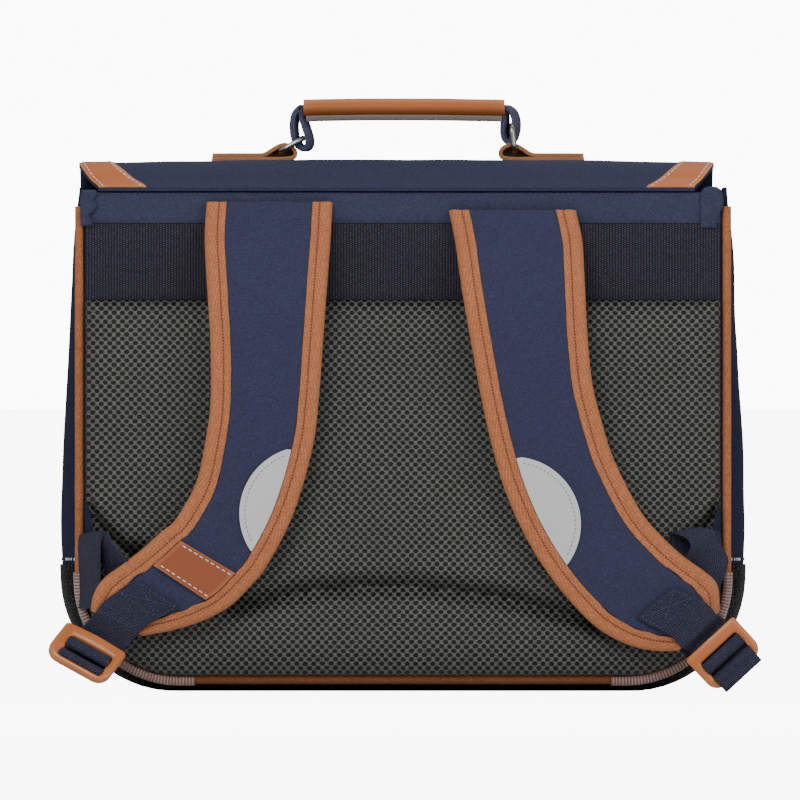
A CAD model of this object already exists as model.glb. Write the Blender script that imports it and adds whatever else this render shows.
# A school ransel seen from the wearer's side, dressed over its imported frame. Lengths are in millimetres.
import math

import bmesh
import bpy
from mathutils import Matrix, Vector, noise


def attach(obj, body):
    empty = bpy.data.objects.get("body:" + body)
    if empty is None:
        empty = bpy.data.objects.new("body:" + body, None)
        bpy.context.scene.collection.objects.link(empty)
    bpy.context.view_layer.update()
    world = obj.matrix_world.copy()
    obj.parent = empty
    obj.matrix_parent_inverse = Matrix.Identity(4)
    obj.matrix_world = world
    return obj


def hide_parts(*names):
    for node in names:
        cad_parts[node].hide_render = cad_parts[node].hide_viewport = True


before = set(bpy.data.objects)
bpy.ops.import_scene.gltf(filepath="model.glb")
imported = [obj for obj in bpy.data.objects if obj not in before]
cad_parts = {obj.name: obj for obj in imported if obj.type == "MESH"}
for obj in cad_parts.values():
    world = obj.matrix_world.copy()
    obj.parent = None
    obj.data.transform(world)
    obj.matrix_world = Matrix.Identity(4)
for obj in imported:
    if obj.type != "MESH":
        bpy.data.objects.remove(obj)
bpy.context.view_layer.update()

MM = 0.001

# Floor, light and camera: a pale floor that meets a pale room, two large soft lights, and a level camera a
# long way off, as the photograph's long lens has it.
camera_distance = 20.0
photo_width = 0.48
camera_data = bpy.data.cameras.new("camera")
camera_data.sensor_width = 36
camera_data.lens = camera_data.sensor_width * camera_distance / photo_width
camera = bpy.data.objects.new("camera", camera_data)
camera.location = (-0.0018, -0.095 - camera_distance, 0.1752)
camera.rotation_euler = (math.radians(90), 0, 0)
bpy.context.scene.collection.objects.link(camera)
bpy.context.scene.camera = camera

floor_mesh = bpy.data.meshes.new("floor")
reach = 600
floor_mesh.from_pydata([(-reach, -reach, 0), (reach, -reach, 0), (reach, reach, 0), (-reach, reach, 0)], [],
                       [(0, 1, 2, 3)])
floor = bpy.data.objects.new("floor", floor_mesh)
floor.location.z = -0.0002
bpy.context.scene.collection.objects.link(floor)
floor_paint = bpy.data.materials.new("pale_floor")
floor_paint.use_nodes = True
floor_shader = floor_paint.node_tree.nodes["Principled BSDF"]
floor_shader.inputs["Base Color"].default_value = (0.92, 0.92, 0.92, 1)
floor_shader.inputs["Roughness"].default_value = 0.9
floor_shader.inputs["Emission Color"].default_value = (1, 1, 1, 1)
seen_floor = floor_paint.node_tree.nodes.new("ShaderNodeLightPath")
glow = floor_paint.node_tree.nodes.new("ShaderNodeMath")
glow.operation = "MULTIPLY"
glow.inputs[1].default_value = 8.0
floor_paint.node_tree.links.new(seen_floor.outputs["Is Camera Ray"], glow.inputs[0])
floor_paint.node_tree.links.new(glow.outputs[0], floor_shader.inputs["Emission Strength"])
floor_mesh.materials.append(floor_paint)

room = bpy.data.worlds.new("room")
room.use_nodes = True
sky = room.node_tree.nodes["Background"]
sky.inputs["Color"].default_value = (1, 1, 1, 1)
sky.inputs["Strength"].default_value = 0.5
backdrop = room.node_tree.nodes.new("ShaderNodeBackground")
backdrop.inputs["Color"].default_value = (1, 1, 1, 1)
backdrop.inputs["Strength"].default_value = 11.0
seen = room.node_tree.nodes.new("ShaderNodeLightPath")
either = room.node_tree.nodes.new("ShaderNodeMixShader")
room.node_tree.links.new(seen.outputs["Is Camera Ray"], either.inputs["Fac"])
room.node_tree.links.new(sky.outputs[0], either.inputs[1])
room.node_tree.links.new(backdrop.outputs[0], either.inputs[2])
room.node_tree.links.new(either.outputs[0], room.node_tree.nodes["World Output"].inputs["Surface"])
bpy.context.scene.world = room
for name, place, size, power in [
    ("key", (-0.7, -2.3, 1.7), 1.1, 38),
    ("fill", (1.5, -2.0, 0.7), 1.6, 17),
    ("rim", (0.2, 0.5, 1.5), 1.0, 4.5),
]:
    light_data = bpy.data.lights.new(name, "AREA")
    light_data.size = size
    light_data.energy = power
    light = bpy.data.objects.new(name, light_data)
    light.location = place
    aim = Vector((0, 0, 0.17)) - Vector(place)
    light.rotation_euler = aim.to_track_quat("-Z", "Y").to_euler()
    bpy.context.scene.collection.objects.link(light)


# The gusset: a long strip of navy twill that makes both sides and the base, swelling past its seams. A black
# coated strip covers its lower part and is the foot the bag stands on.
gap = 0.3
cloth_wall = 2.0
seam_half_width = 194.4
seam_bottom = 7.2
seam_top = 303.0
corner_radius = 60.0
back_plane = -75.0
depth_bottom = 150.0
depth_top = 130.0
gusset_swell = 11.1
cover_top = 73.0
cover_wall = 1.2
piping_radius = 2.7


def lerp(low, high, share):
    return low + (high - low) * share


def clamp(value, low, high):
    return max(low, min(high, value))


def curve_through(rows, at):
    """Values of a table's rows at a place in its first column, on a smooth curve through the rows."""
    last = len(rows) - 1
    at = clamp(at, rows[0][0], rows[last][0])
    i = 0
    while i < last - 1 and at > rows[i + 1][0]:
        i += 1
    share = (at - rows[i][0]) / (rows[i + 1][0] - rows[i][0])
    span = rows[i + 1][0] - rows[i][0]
    values = []
    for column in range(1, len(rows[0])):
        def slope(k):
            a, b = rows[max(k - 1, 0)], rows[min(k + 1, last)]
            return (b[column] - a[column]) / (b[0] - a[0])
        start, end = rows[i][column], rows[i + 1][column]
        s2, s3 = share * share, share ** 3
        values.append((2 * s3 - 3 * s2 + 1) * start + (s3 - 2 * s2 + share) * slope(i) * span
                      + (3 * s2 - 2 * s3) * end + (s3 - s2) * slope(i + 1) * span)
    return values


def depth_at(z):
    return lerp(depth_bottom, depth_top, clamp(z / seam_top, 0, 1))


swell_rows = [(0.24, 0.93), (0.34, 1.0), (0.45, 0.95), (0.58, 0.78), (0.72, 0.54), (0.87, 0.37), (1.0, 0.0)]
base_swell = seam_bottom - gap - cover_wall


def swell_at(z):
    return curve_through(swell_rows, z / seam_top)[0] * gusset_swell


def seam_line(side_steps=26, corner_steps=14, base_steps=16):
    """Stations round the bag from the left top to the right top: x, z, outward direction and swell."""
    left = []
    for i in range(side_steps):
        z = lerp(seam_top, seam_bottom + corner_radius, i / side_steps)
        left.append((-seam_half_width, z, (-1.0, 0.0), swell_at(z)))
    low_swell = swell_rows[0][1] * gusset_swell
    for i in range(corner_steps + 1):
        angle = i / corner_steps * math.pi / 2
        out = (-math.cos(angle), -math.sin(angle))
        left.append((-(seam_half_width - corner_radius) + out[0] * corner_radius,
                     seam_bottom + corner_radius + out[1] * corner_radius, out,
                     lerp(low_swell, base_swell, i / corner_steps)))
    right = [(-x, z, (-out[0], out[1]), swell) for x, z, out, swell in reversed(left)]
    base_from, base_to = left[-1], right[0]
    base = [(lerp(base_from[0], base_to[0], i / base_steps), base_from[1], base_from[2], base_from[3])
            for i in range(1, base_steps)]
    return left + base + right


seam = seam_line()
profile_rows = [(0, 0), (0.08, 0.62), (0.2, 0.95), (0.32, 1.0), (0.5, 1.0), (0.68, 1.0), (0.8, 0.95),
                (0.92, 0.62), (1.0, 0)]
profile_steps = [0, 0.02, 0.05, 0.08, 0.13, 0.2, 0.28, 0.4, 0.5, 0.6, 0.72, 0.8, 0.87, 0.92, 0.95, 0.98, 1.0]


def build(name, points, faces, uvs, sharp=40):
    """One mesh object from points in millimetres, with the cloth's own lengths in metres as its UVs."""
    mesh = bpy.data.meshes.new(name)
    mesh.from_pydata([Vector(p) * MM for p in points], [], faces)
    layer = mesh.uv_layers.new(name="cloth")
    flat = [value for face in uvs for corner in face for value in (corner[0] * MM, corner[1] * MM)]
    layer.data.foreach_set("uv", flat)
    fresh = bmesh.new()
    fresh.from_mesh(mesh)
    bmesh.ops.recalc_face_normals(fresh, faces=fresh.faces)
    if fresh.calc_volume(signed=True) < 0:
        bmesh.ops.reverse_faces(fresh, faces=fresh.faces)
    fresh.to_mesh(mesh)
    fresh.free()
    mesh.polygons.foreach_set("use_smooth", [True] * len(mesh.polygons))
    mesh.set_sharp_from_angle(angle=math.radians(sharp))
    piece = bpy.data.objects.new(name, mesh)
    bpy.context.scene.collection.objects.link(piece)
    return piece


def loft(name, rings, closed=False, sharp=40):
    """Joins rings of points into one body. U runs round a ring and V from ring to ring."""
    count = len(rings[0])
    rings = [[Vector(p) for p in ring] for ring in rings]
    spans = len(rings) if closed else len(rings) - 1
    around = [0.0]
    middle = rings[len(rings) // 2]
    for j in range(count):
        around.append(around[-1] + (middle[(j + 1) % count] - middle[j]).length)
    along = [0.0]
    for i in range(spans):
        here, there = rings[i], rings[(i + 1) % len(rings)]
        step = sum((a - b).length for a, b in zip(here, there)) / count
        along.append(along[-1] + step)
    points = [p for ring in rings for p in ring]
    faces, uvs = [], []
    for i in range(spans):
        k = (i + 1) % len(rings)
        for j in range(count):
            n = (j + 1) % count
            faces.append((i * count + j, i * count + n, k * count + n, k * count + j))
            uvs.append(((around[j], along[i]), (around[j + 1], along[i]), (around[j + 1], along[i + 1]),
                        (around[j], along[i + 1])))
    if not closed:
        for start, order in ((0, 1), ((len(rings) - 1) * count, -1)):
            cap = [start + j for j in range(count)][::order]
            faces.append(cap)
            uvs.append([(around[j], along[0 if start == 0 else -1]) for j in range(count)][::order])
    return build(name, points, faces, uvs, sharp)


def ripple(point, size, height, seed=0.0):
    """Soft unevenness of cloth: a length that varies smoothly from place to place."""
    return noise.noise(Vector(point) / size + Vector((seed, seed * 1.7, seed * 0.3))) * height


def gusset_skin(station, across, offset, seed):
    x, z, out, swell = station
    depth = depth_at(z) - 2 * (piping_radius + gap)
    rise = curve_through(profile_rows, across)[0]
    reach = swell * rise + offset
    reach += ripple((x, across * depth, z), 34, 0.8, seed=seed) * rise if z > cover_top else 0
    return (x + out[0] * reach, back_plane + piping_radius + gap + across * depth, z + out[1] * reach)


def gusset_strip(name, stations, inner, outer, seed):
    rings = []
    for station in stations:
        ring = [gusset_skin(station, across, outer, seed) for across in profile_steps]
        ring += [gusset_skin(station, across, inner, seed) for across in reversed(profile_steps)]
        rings.append(ring)
    return loft(name, rings)


def wire(tree, value, plug):
    """Joins a shader value to an input, or sets the input where the value is a plain number or colour."""
    if isinstance(value, Signal):
        tree.links.new(value.socket, plug)
    else:
        plug.default_value = value


class Signal:
    """A node's output that takes plain arithmetic, with one math node for each step."""

    def __init__(self, tree, socket):
        self.tree, self.socket = tree, socket

    def step(self, operation, *others):
        return math_node(self.tree, operation, self, *others)

    def __add__(self, other):
        return self.step("ADD", other)

    def __sub__(self, other):
        return self.step("SUBTRACT", other)

    def __rsub__(self, other):
        return math_node(self.tree, "SUBTRACT", other, self)

    def __mul__(self, other):
        return self.step("MULTIPLY", other)

    def __truediv__(self, other):
        return self.step("DIVIDE", other)

    def __rtruediv__(self, other):
        return math_node(self.tree, "DIVIDE", other, self)

    def within(self, low, high):
        return self.step("MAXIMUM", low).step("MINIMUM", high)


def math_node(tree, operation, *values):
    node = tree.nodes.new("ShaderNodeMath")
    node.operation = operation
    for value, plug in zip(values, node.inputs):
        wire(tree, value, plug)
    return Signal(tree, node.outputs[0])


class Graph:
    """A shader tree, with short ways to add nodes and to join them."""

    def __init__(self, tree):
        self.tree = tree

    def node(self, kind, output, **values):
        node = self.tree.nodes.new("ShaderNode" + kind)
        for key, value in values.items():
            wire(self.tree, value, node.inputs[key.replace("_", " ")])
        return Signal(self.tree, node.outputs[output])

    def split(self, vector):
        parts = self.node("SeparateXYZ", 0, Vector=vector).socket.node.outputs
        return [Signal(self.tree, part) for part in parts]

    def mix(self, factor, first, second):
        """A colour between two, each a plain colour or a node's output."""
        mix = self.tree.nodes.new("ShaderNodeMix")
        mix.data_type = "RGBA"
        for key, value in (("Factor", factor), ("A", first), ("B", second)):
            wire(self.tree, value, mix.inputs[key])
        return Signal(self.tree, mix.outputs["Result"])

    def group(self, group, **values):
        """Places a shader group and gives its outputs by name."""
        node = self.tree.nodes.new("ShaderNodeGroup")
        node.node_tree = group
        for key, value in values.items():
            wire(self.tree, value, node.inputs[key.replace("_", " ")])
        return {output.name: Signal(self.tree, output) for output in node.outputs}


def start_group(name, inputs, outputs):
    """A shader group with float, colour or vector sockets: its graph, its inputs by name and its outputs."""
    tree = bpy.data.node_groups.new(name, "ShaderNodeTree")
    for socket_name, kind, value in inputs:
        socket = tree.interface.new_socket(name=socket_name, in_out="INPUT", socket_type=kind)
        if value is not None:
            socket.default_value = value
    for socket_name, kind in outputs:
        tree.interface.new_socket(name=socket_name, in_out="OUTPUT", socket_type=kind)
    entry = tree.nodes.new("NodeGroupInput")
    given = {output.name: Signal(tree, output) for output in entry.outputs if output.name}
    return Graph(tree), given, tree.nodes.new("NodeGroupOutput").inputs


FLOAT, COLOUR, VECTOR = "NodeSocketFloat", "NodeSocketColor", "NodeSocketVector"


def woven_group():
    """Yarns crossing at a given pitch: their height, a tone for each float, and the dark between them."""
    graph, given, result = start_group("woven_yarns", [
        ("Cloth", VECTOR, None), ("Pitch across", FLOAT, 1.0), ("Pitch along", FLOAT, 1.0),
        ("Slant", FLOAT, 0.0), ("Roundness", FLOAT, 0.5),
    ], [("Height", FLOAT), ("Tone", FLOAT), ("Gap", FLOAT)])
    u_mm, v_mm = [part * 1000.0 for part in graph.split(given["Cloth"])[:2]]
    u = (u_mm + v_mm * given["Slant"]) / given["Pitch across"]
    column = u.step("FLOOR")
    v = v_mm / given["Pitch along"] + column.step("MODULO", 2.0) * 0.5
    row = v.step("FLOOR")
    bows = [((place - index) * math.pi).step("SINE").step("MAXIMUM", 0.0).step("POWER", given["Roundness"])
            for place, index in ((u, column), (v, row))]
    height = bows[0] * bows[1]
    cell = graph.node("CombineXYZ", 0, X=column, Y=row)
    wire(graph.tree, height, result["Height"])
    wire(graph.tree, graph.node("TexWhiteNoise", "Value", Vector=cell), result["Tone"])
    wire(graph.tree, 1.0 - height, result["Gap"])
    return graph.tree


woven_yarns = woven_group()


def wear_group():
    """Use marks: soft blotches in the colour and fibres that lift, both from the object's own place."""
    graph, given, result = start_group("use_marks", [
        ("Base", COLOUR, (0.5, 0.5, 0.5, 1)), ("Faded", COLOUR, (0.6, 0.6, 0.6, 1)),
        ("Blotch size", FLOAT, 30.0), ("Amount", FLOAT, 0.4),
    ], [("Colour", COLOUR), ("Blotch", FLOAT), ("Fine", FLOAT)])
    place = graph.node("TexCoord", "Object")
    blotch = graph.node("TexNoise", "Fac", Vector=place, Scale=1000.0 / given["Blotch size"], Detail=5)
    fine = graph.node("TexNoise", "Fac", Vector=place, Scale=1400, Detail=2)
    wire(graph.tree, graph.mix(blotch * given["Amount"], given["Base"], given["Faded"]), result["Colour"])
    wire(graph.tree, blotch, result["Blotch"])
    wire(graph.tree, fine, result["Fine"])
    return graph.tree


use_marks = wear_group()


def srgb(red, green, blue):
    """A colour as the eye reads it, 0 to 255, as the shader wants it."""
    def linear(value):
        value /= 255
        return value / 12.92 if value <= 0.04045 else ((value + 0.055) / 1.055) ** 2.4
    return (linear(red), linear(green), linear(blue), 1.0)


def times(colour, factor):
    """A colour made darker or lighter."""
    return tuple(min(1.0, c * factor) for c in colour[:3]) + (1.0,)


class Look(Graph):
    """A material while it is made: plain settings first, then its colour and its raised surface."""

    def __init__(self, name, **settings):
        self.material = bpy.data.materials.new(name)
        self.material.use_nodes = True
        super().__init__(self.material.node_tree)
        self.shader = self.tree.nodes["Principled BSDF"]
        for key, value in settings.items():
            self.shader.inputs[key.replace("_", " ")].default_value = value

    def cloth(self):
        """The cloth's own lengths, along and across."""
        cloth = self.tree.nodes.new("ShaderNodeUVMap")
        cloth.uv_map = "cloth"
        return Signal(self.tree, cloth.outputs["UV"])

    def place(self):
        return self.node("TexCoord", "Object")

    def marks(self, base, faded, size, amount):
        """The colour with its use marks, and the fine fibres."""
        return self.group(use_marks, Base=base, Faded=faded, Blotch_size=size, Amount=amount)

    def finished(self, colour, height, depth_mm, strength=1.0):
        wire(self.tree, colour, self.shader.inputs["Base Color"])
        normal = self.node("Bump", "Normal", Distance=depth_mm * MM, Strength=strength, Height=height)
        wire(self.tree, normal, self.shader.inputs["Normal"])
        return self.material


def cloth_material(name, lit, dark, pitch, depth, slant=1.0, roughness=0.8, sheen=0.06, roundness=0.6,
                   blotch=26.0, faded=0.5, gap_share=0.5, soil=0.0, specular=0.18):
    """Woven cloth: yarns of a lit and a dark tone, faded in places, soiled below a height over the floor."""
    look = Look(name, Roughness=roughness, Sheen_Weight=sheen, Sheen_Roughness=0.5, Sheen_Tint=times(lit, 4),
                Specular_IOR_Level=specular)
    yarns = look.group(woven_yarns, Cloth=look.cloth(), Pitch_across=pitch[0], Pitch_along=pitch[1],
                       Slant=slant, Roundness=roundness)
    marks = look.marks(lit, times(lit, 1.35), blotch, faded)
    toned = look.mix(yarns["Tone"] * 0.6, marks["Colour"], times(lit, 0.55))
    glint = ((marks["Fine"] - 0.53).step("MAXIMUM", 0.0) * 3.0).step("MINIMUM", 0.8)
    toned = look.mix(glint, toned, times(lit, 2.0))
    colour = look.mix(yarns["Gap"] * gap_share, toned, dark)
    if soil:
        up = look.split(look.place())[2]
        low = ((1.0 - up / (soil * MM)).step("MAXIMUM", 0.0) * 1.5).step("MINIMUM", 0.85)
        colour = look.mix(low, colour, dark)
    return look.finished(colour, yarns["Height"] + marks["Fine"] * 0.3, depth)


navy_twill = cloth_material("navy_twill", srgb(44, 47, 68), srgb(27, 29, 44), (0.85, 0.85), 0.2,
                            roughness=0.9, sheen=0.0, blotch=34.0, faded=0.4, specular=0.04)


def coated_material():
    """Black coated cloth with a coarse raised grain and dull patches."""
    look = Look("coated_cover", Roughness=0.6, Specular_IOR_Level=0.08)
    grain = look.node("TexVoronoi", "Distance", Vector=look.place(), Scale=440, Randomness=0.6)
    away = (grain * 1.9).step("MINIMUM", 1.0)
    marks = look.marks(srgb(58, 58, 56), srgb(96, 96, 92), 9.0, 0.5)
    return look.finished(look.mix(away, marks["Colour"], srgb(2, 2, 2)), 1.0 - away, 1.2)


coated_cover = coated_material()


def finish_piece(piece, material, slot, *nodes):
    """Gives a piece its finish and its place in the frame."""
    piece.data.materials.clear()
    piece.data.materials.append(material)
    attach(piece, "root")
    if nodes:
        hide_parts(*nodes)
    return piece


gusset = gusset_strip("gusset_cloth", seam, -cloth_wall, 0, 3.1)
finish_piece(gusset, navy_twill, "twill", "gusset")
covered = [s for s in seam if s[1] <= cover_top + 6]
cover = gusset_strip("gusset_cover", covered, gap, gap + cover_wall, 3.1)
finish_piece(cover, coated_cover, "cover", "gusset_reinforcement")


# Stitches are short lengths of thread, made as real beads that lie half sunk in the cloth.
def sew(name, route, outward, thread, slot, length=3.0, space=1.6, radius=0.35, sink=0.4):
    """Lays stitches along a route of points; outward is one direction, or one for each point."""
    route = [Vector(p) for p in route]
    lengths = [0.0]
    for a, b in zip(route, route[1:]):
        lengths.append(lengths[-1] + (b - a).length)

    def at(distance):
        i = 0
        while i < len(lengths) - 2 and distance > lengths[i + 1]:
            i += 1
        share = (distance - lengths[i]) / max(lengths[i + 1] - lengths[i], 1e-6)
        up = outward if isinstance(outward, Vector) else outward[i].lerp(outward[i + 1], clamp(share, 0, 1))
        return route[i].lerp(route[i + 1], share), up.normalized()

    points, faces, uvs = [], [], []
    start = space / 2
    sides = 6
    while start + length <= lengths[-1]:
        base = len(points)
        for share, swell in ((0, 0.35), (0.15, 0.9), (0.5, 1.0), (0.85, 0.9), (1, 0.35)):
            middle, up = at(start + share * length)
            ahead = (at(start + length)[0] - at(start)[0]).normalized()
            aside = ahead.cross(up).normalized()
            middle = middle + up * (radius * (1 - 2 * sink) * swell)
            for j in range(sides):
                angle = j / sides * 2 * math.pi
                points.append(middle + (aside * math.cos(angle) + up * math.sin(angle)) * radius * swell)
        for i in range(4):
            for j in range(sides):
                n = (j + 1) % sides
                face = (base + i * sides + j, base + i * sides + n, base + (i + 1) * sides + n,
                        base + (i + 1) * sides + j)
                faces.append(face)
                uvs.append(((j, i), (j + 1, i), (j + 1, i + 1), (j, i + 1)))
        for ring, order in ((0, 1), (4, -1)):
            faces.append([base + ring * sides + j for j in range(sides)][::order])
            uvs.append([(0, 0)] * sides)
        start += length + space
    piece = build(name, points, faces, uvs, 60)
    return finish_piece(piece, thread, slot)


def thread_material(name, colour):
    look = Look(name, Roughness=0.6)
    marks = look.marks(colour, times(colour, 0.7), 6.0, 0.8)
    return look.finished(marks["Colour"], marks["Fine"], 0.1)


white_thread = thread_material("white_thread", srgb(240, 238, 232))
blue_thread = thread_material("blue_thread", srgb(58, 65, 106))
brown_thread = thread_material("brown_thread", srgb(108, 58, 32))
grey_thread = thread_material("grey_thread", srgb(112, 114, 118))
tick_height = 79.5
for side_name, side in (("left", -1), ("right", 1)):
    station = (side * seam_half_width, tick_height, (float(side), 0.0), swell_at(tick_height))
    for k in range(22):
        spot = Vector(gusset_skin(station, 0.012 + 0.0455 * k if k > 5 else 0.012 + 0.02 * k, 0.1, 3.1))
        up = Vector((side, -1 if k < 7 else 0, 0)).normalized()
        tick = [spot - Vector((0, 0, 1.0)), spot + Vector((0, 0, 1.0))]
        sew("gusset_stitch_" + side_name + str(k), tick, up, white_thread, "twill", length=1.8, space=0.2,
            radius=0.4, sink=0.2)


# Front and back panels: board-stiffened twill, sewn to the gusset through the piping.
panel_inset = piping_radius + gap
panel_half = seam_half_width - panel_inset
panel_bottom = seam_bottom + panel_inset
front_top = 286.0
front_crown = 8.0
front_wall = 3.0


def crown_at(x, z):
    side = clamp(x / panel_half, -1, 1)
    rise = clamp((z - panel_bottom) / (seam_top - panel_bottom), 0, 1)
    return front_crown * (1 - side * side) * (1 - (2 * rise - 1) ** 4)


def slab(name, columns, front, back, sharp=40):
    """Joins two grids of points along their borders. UVs are the front grid's own x and z."""
    rows = len(front[0])
    points = [p for column in front for p in column] + [p for column in back for p in column]
    behind = columns * rows
    faces, uvs = [], []
    for i in range(columns - 1):
        for j in range(rows - 1):
            quad = (i * rows + j, (i + 1) * rows + j, (i + 1) * rows + j + 1, i * rows + j + 1)
            faces.append(quad)
            faces.append(tuple(k + behind for k in reversed(quad)))
    border = [(i * rows, (i + 1) * rows) for i in range(columns - 1)]
    border += [((columns - 1) * rows + j, (columns - 1) * rows + j + 1) for j in range(rows - 1)]
    border += [((i + 1) * rows + rows - 1, i * rows + rows - 1) for i in reversed(range(columns - 1))]
    border += [(j + 1, j) for j in reversed(range(rows - 1))]
    for a, b in border:
        faces.append((b, a, a + behind, b + behind))
    uvs = [[(points[k][0], points[k][2]) for k in face] for face in faces]
    return build(name, points, faces, uvs, sharp)


front_rows = [s for s in seam if s[0] > 0]
panel_columns = 33


def front_face(offset):
    columns = []
    for i in range(panel_columns):
        share = -1 + 2 * i / (panel_columns - 1)
        column = []
        for x, z, out, swell in front_rows:
            z = min(z, front_top) - out[1] * panel_inset
            x = share * (x - out[0] * panel_inset)
            stand = depth_at(z) + crown_at(x, z) + offset + ripple((x, 0, z), 60, 0.8)
            column.append((x, back_plane + stand, z))
        columns.append(column)
    return columns


front_panel = slab("front_panel_cloth", panel_columns, front_face(front_wall / 2),
                   front_face(-front_wall / 2))
finish_piece(front_panel, navy_twill, "twill", "front_panel")


def flat_cloth(mesh):
    """Gives a mesh its own x and z as the cloth's lengths."""
    layer = mesh.uv_layers.get("cloth") or mesh.uv_layers.new(name="cloth")
    for loop in mesh.loops:
        spot = mesh.vertices[loop.vertex_index].co
        layer.data[loop.index].uv = (spot.x, spot.z)


back_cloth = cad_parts["back_panel"].data.copy()
flat_cloth(back_cloth)
back_piece = bpy.data.objects.new("back_panel_cloth", back_cloth)
bpy.context.scene.collection.objects.link(back_piece)
finish_piece(back_piece, navy_twill, "twill", "back_panel")


# Piping: a tan cord in a cloth cover along both seams. A ribbed clear guard clips over it on the lower back
# corners, where the bag rubs on the floor.
piping_top = 291.6
sleeve_wall = 0.6
sleeve_top = 72.0
sleeve_end = 125.0


def tube_ring(station, y, radius, sides, from_angle=0.0, to_angle=360.0, closed=True):
    x, z, out = station[0], station[1], station[2]
    steps = sides if closed else sides - 1
    ring = []
    for i in range(sides):
        angle = math.radians(lerp(from_angle, to_angle, i / steps))
        reach = math.cos(angle) * radius
        ring.append((x + out[0] * reach, y - math.sin(angle) * radius, z + out[1] * reach))
    return ring


tan_binding = cloth_material("tan_binding", srgb(214, 133, 90), srgb(114, 58, 34), (1.0, 1.5), 0.4,
                             roughness=0.78, sheen=0.12, blotch=30.0, faded=0.4, gap_share=0.62)
tan_piping = cloth_material("tan_piping", srgb(200, 122, 80), srgb(70, 36, 20), (1.0, 1.5), 0.4, sheen=0.08,
                            blotch=30.0, faded=0.4, gap_share=0.6, soil=10.5)
for name, share in (("back", 0), ("front", 1)):
    rings = []
    for x, z, out, swell in seam:
        if z > piping_top + 4:
            continue
        z = min(z, piping_top)
        y = back_plane + share * depth_at(z) + ripple((x, z, 0), 40, 0.35, seed=5)
        rings.append(tube_ring((x, z, out), y, piping_radius + ripple((x, z, 0), 12, 0.18, seed=8), 14))
    piping = loft("piping_" + name + "_cord", rings, sharp=70)
    finish_piece(piping, tan_piping, "binding", "piping_" + name)


def guard_material():
    """Clear ribbed plastic over tan cord: pale ribs with the brown showing between them."""
    rib_pitch = 1.9
    look = Look("clear_guard", Roughness=0.22, Coat_Weight=0.6)
    along = look.split(look.cloth())[1]
    rib = (along * (2 * math.pi / (rib_pitch * MM))).step("SINE") * 0.5 + 0.5
    marks = look.marks(srgb(132, 92, 80), srgb(188, 164, 158), 9.0, 1.0)
    return look.finished(look.mix(rib, marks["Colour"], srgb(110, 66, 52)), rib, 0.5)


clear_guard = guard_material()
for side_name, side in (("left", -1), ("right", 1)):
    stations = [s for s in seam if s[0] * side > 0 and s[1] < sleeve_top and abs(s[0]) > sleeve_end]
    top = (side * seam_half_width, sleeve_top, (float(side), 0.0))
    end = (side * sleeve_end, seam_bottom, (0.0, -1.0))
    stations = [top] + stations + [end] if side < 0 else [end] + stations + [top]
    rings = []
    for station in stations:
        outer = tube_ring(station, back_plane, piping_radius + gap + sleeve_wall, 9, -50, 120, False)
        inner = tube_ring(station, back_plane, piping_radius + gap, 9, -50, 120, False)
        rings.append(outer + inner[::-1])
    guard = loft("piping_guard_" + side_name, rings, sharp=50)
    finish_piece(guard, clear_guard, "guard", "piping_sleeve_" + side_name)


# Top of the back: a yoke of navy twill over a wide ribbed webbing band, and the folded gusset ears sewn
# over the yoke's ends.
yoke_bottom = 281.3
flap_seam_height = 300.0
band_half_width = 190.5
band_bottom = 235.3
panel_face = 2.0 + gap
yoke_wall = 1.5
band_wall = 1.8
yoke_twill = cloth_material("yoke_twill", srgb(60, 64, 88), srgb(38, 41, 60), (0.85, 0.85), 0.2, faded=0.6)
ribbed_webbing = cloth_material("ribbed_webbing", srgb(70, 69, 82), srgb(8, 8, 12), (1.7, 1.3), 0.7,
                                slant=0.0, sheen=0.08, roundness=0.8, blotch=40.0, gap_share=1.0)


def back_band(name, left, right, bottom, top, lift, wall, wave, columns, rows, seed, folds=(), edge=0.6):
    """A flat band on the back panel with soft waves, rounded edges and folds.

    A fold is its place, slant, width and height.
    """
    def face(offset, waved):
        grid = []
        for i in range(columns):
            x = lerp(left, right, i / (columns - 1))
            column = []
            for j in range(rows):
                share = j / (rows - 1)
                z = lerp(bottom, top, share)
                stand = offset
                if waved:
                    near = min(x - left, right - x, z - bottom, top - z)
                    stand -= edge * (1 - clamp(near / 2.0, 0, 1)) ** 2
                    loose = clamp(near / 4.0, 0, 1)
                    stand += (0.5 + ripple((x, 0, z * 0.7), 26, 1.0, seed=seed)) * wave * loose
                    for place, slant, spread, height in folds:
                        off = (x - place - slant * (top - z)) / spread
                        stand += height * math.exp(-off * off) * share ** 0.7 * loose
                column.append((x, back_plane - lift - max(stand, 0), z))
            grid.append(column)
        return grid
    return slab(name, columns, face(wall, True), face(0, False), 50)


yoke_folds = [(-172, 0.2, 4, 1.0), (-148, -0.5, 6, 0.7), (-60, 0.6, 7, 0.5), (36, -0.9, 3.5, 1.1),
              (44, 0.9, 4, 0.9), (96, -0.4, 4, 0.9), (118, 0.5, 5, 0.8), (136, -0.2, 3.5, 0.9),
              (160, 0.3, 6, 0.8)]
yoke = back_band("yoke_cloth", -band_half_width, band_half_width, yoke_bottom, flap_seam_height,
                 lift=panel_face, wall=yoke_wall, wave=1.5, columns=190, rows=16, seed=11, folds=yoke_folds)
finish_piece(yoke, yoke_twill, "twill", "yoke_band")
band = back_band("webbing_band_cloth", -band_half_width, band_half_width, band_bottom, yoke_bottom - gap,
                 lift=panel_face, wall=band_wall, wave=0.5, columns=120, rows=18, seed=17)
finish_piece(band, ribbed_webbing, "webbing", "webbing_band")
ear_lift = panel_face + yoke_wall + gap
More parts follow.
